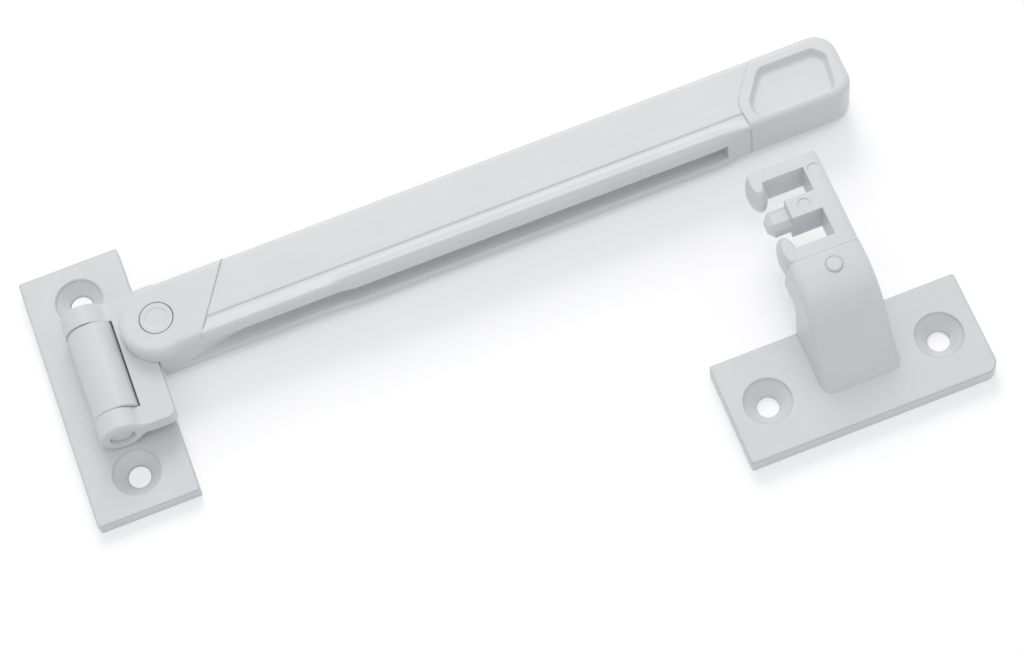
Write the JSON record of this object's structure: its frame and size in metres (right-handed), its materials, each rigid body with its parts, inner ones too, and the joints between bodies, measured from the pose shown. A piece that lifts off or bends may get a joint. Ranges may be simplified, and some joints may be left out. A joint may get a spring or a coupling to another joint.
{
  "type": "door guard",
  "caption": "Plastic door guard: hinged arm with a slotted rail and grip, and a separate screw-on keeper whose C-shaped hook catches the rail.",
  "frame": {"origin": "middle of the hinge plate's back face, between its two screw holes", "axes": "+X along the arm from the hinge to the grip, +Y along the hinge barrel, +Z out of the plates away from the surface that they are screwed to"},
  "size_m": [0.1681, 0.0906, 0.0198],
  "materials": {
    "plate_plastic": "satin moulded, pale cool grey-white",
    "arm_plastic": "satin moulded, pale cool grey-white",
    "keeper_plastic": "satin moulded, pale cool grey-white",
    "pin_plastic": "satin moulded, pale cool grey-white"
  },
  "bodies": {
    "base": {"hinge_plate": "plate_plastic", "keeper_base": "keeper_plastic", "keeper_hook": "keeper_plastic", "keeper_pin": "pin_plastic"},
    "bracket": {"swivel_bracket": "plate_plastic", "hinge_pin": "pin_plastic", "pivot_rivet": "pin_plastic"},
    "arm": {"arm": "arm_plastic"}
  },
  "joints": [
    {"name": "swivel", "type": "hinge", "parent": "base", "child": "bracket", "pos_m": [0, 0, 0.0075], "axis": [0, -1, 0], "range_deg": [0, 160]},
    {"name": "arm_lift", "type": "hinge", "parent": "bracket", "child": "arm", "pos_m": [0.0137, 0.0046, 0.0075], "axis": [0, 0, 1], "range_deg": [0, 72]}
  ]
}
